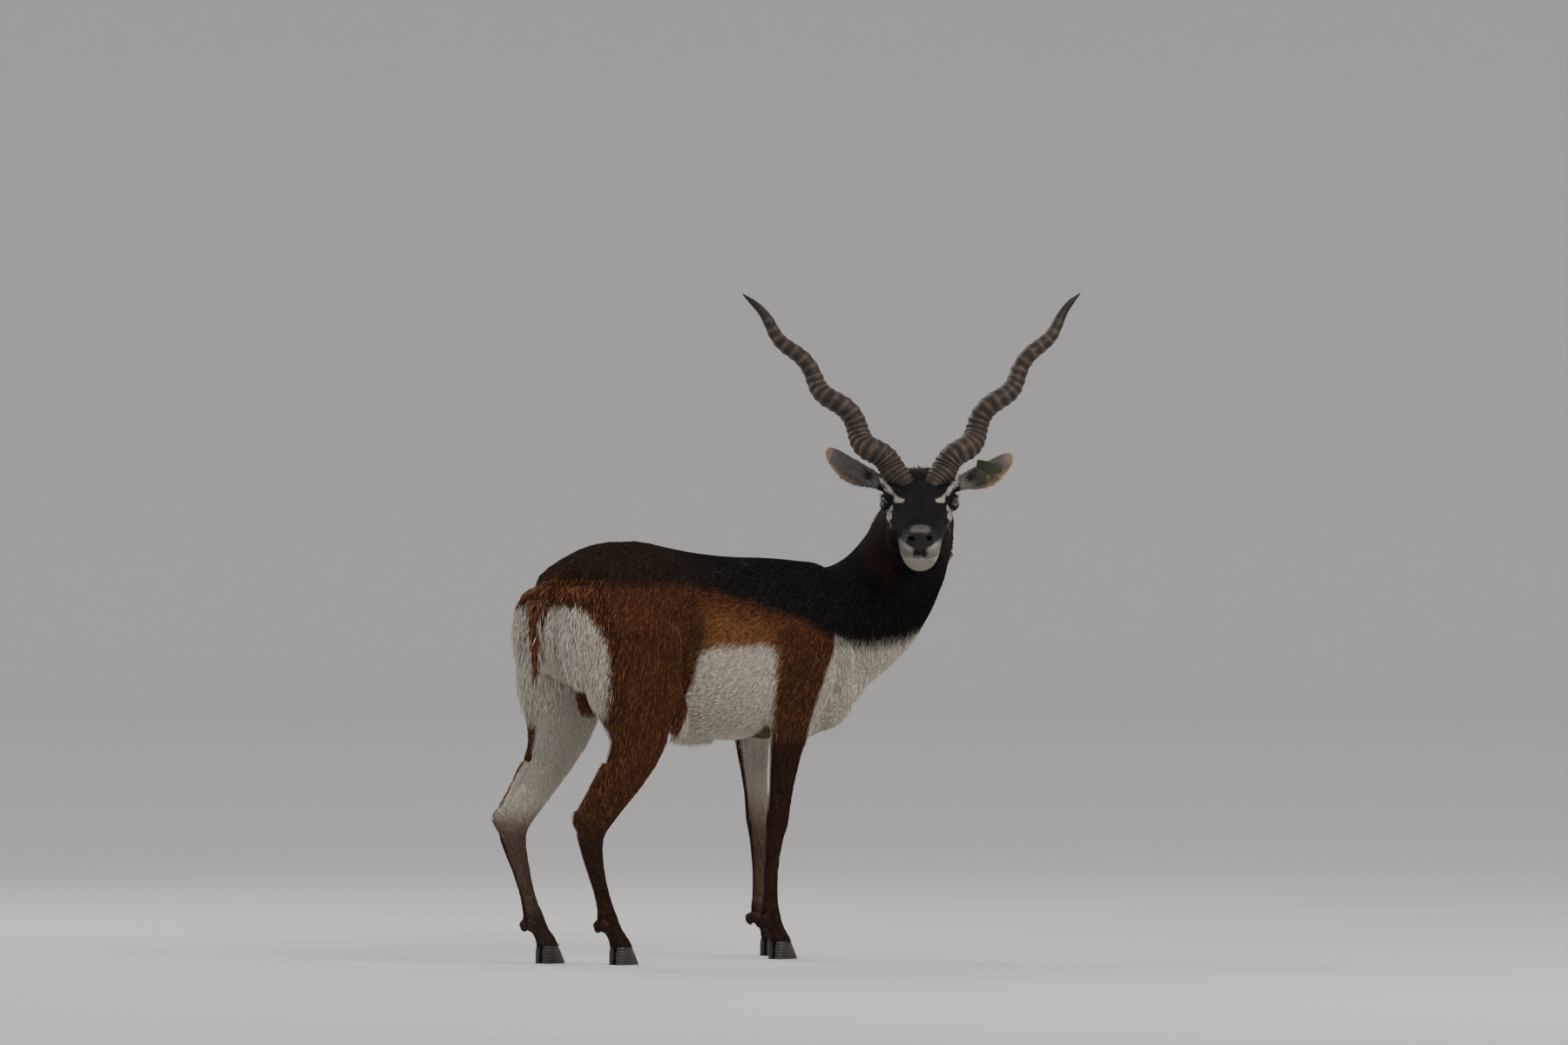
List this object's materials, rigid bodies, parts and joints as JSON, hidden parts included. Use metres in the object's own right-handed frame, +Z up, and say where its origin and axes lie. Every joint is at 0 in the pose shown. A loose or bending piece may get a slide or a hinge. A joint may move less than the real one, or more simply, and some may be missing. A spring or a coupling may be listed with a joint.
{
  "type": "blackbuck",
  "caption": "Life-size standing horned antelope with ringed spiral horns, looking back over its right shoulder, a blank tag in its left ear.",
  "frame": {"origin": "on the floor, at the middle of the box round the whole animal seen from above", "axes": "+Z up from the floor through the back; +X the way the body faces, from tail to chest; +Y to the animal's left"},
  "size_m": [1.1676, 0.4376, 1.2117],
  "materials": {
    "coat_dark_brown": "short lying hair, dull",
    "coat_tan": "short lying hair, dull",
    "ear_grey": "fine short hair, dull",
    "eye_black": "wet gloss",
    "horn": "ringed horn, satin",
    "hoof": "satin",
    "tag_green": "satin"
  },
  "bodies": {
    "root": {"claw_fore_left_inner": "hoof", "claw_fore_left_outer": "hoof", "claw_fore_right_inner": "hoof", "claw_fore_right_outer": "hoof", "claw_hind_left_inner": "hoof", "claw_hind_left_outer": "hoof", "claw_hind_right_inner": "hoof", "claw_hind_right_outer": "hoof", "ear_left": "ear_grey", "ear_right": "ear_grey", "ear_tag": "tag_green", "eye_left": "eye_black", "eye_right": "eye_black", "fore_leg_lower_left": "coat_tan", "fore_leg_lower_right": "coat_tan", "fore_leg_upper_left": "coat_tan", "fore_leg_upper_right": "coat_tan", "head": "coat_dark_brown", "hind_leg_lower_left": "coat_tan", "hind_leg_lower_right": "coat_tan", "hind_leg_upper_left": "coat_tan", "hind_leg_upper_right": "coat_tan", "horn_left": "horn", "horn_right": "horn", "neck": "coat_dark_brown", "tail": "coat_tan", "torso": "coat_dark_brown"}
  },
  "joints": []
}
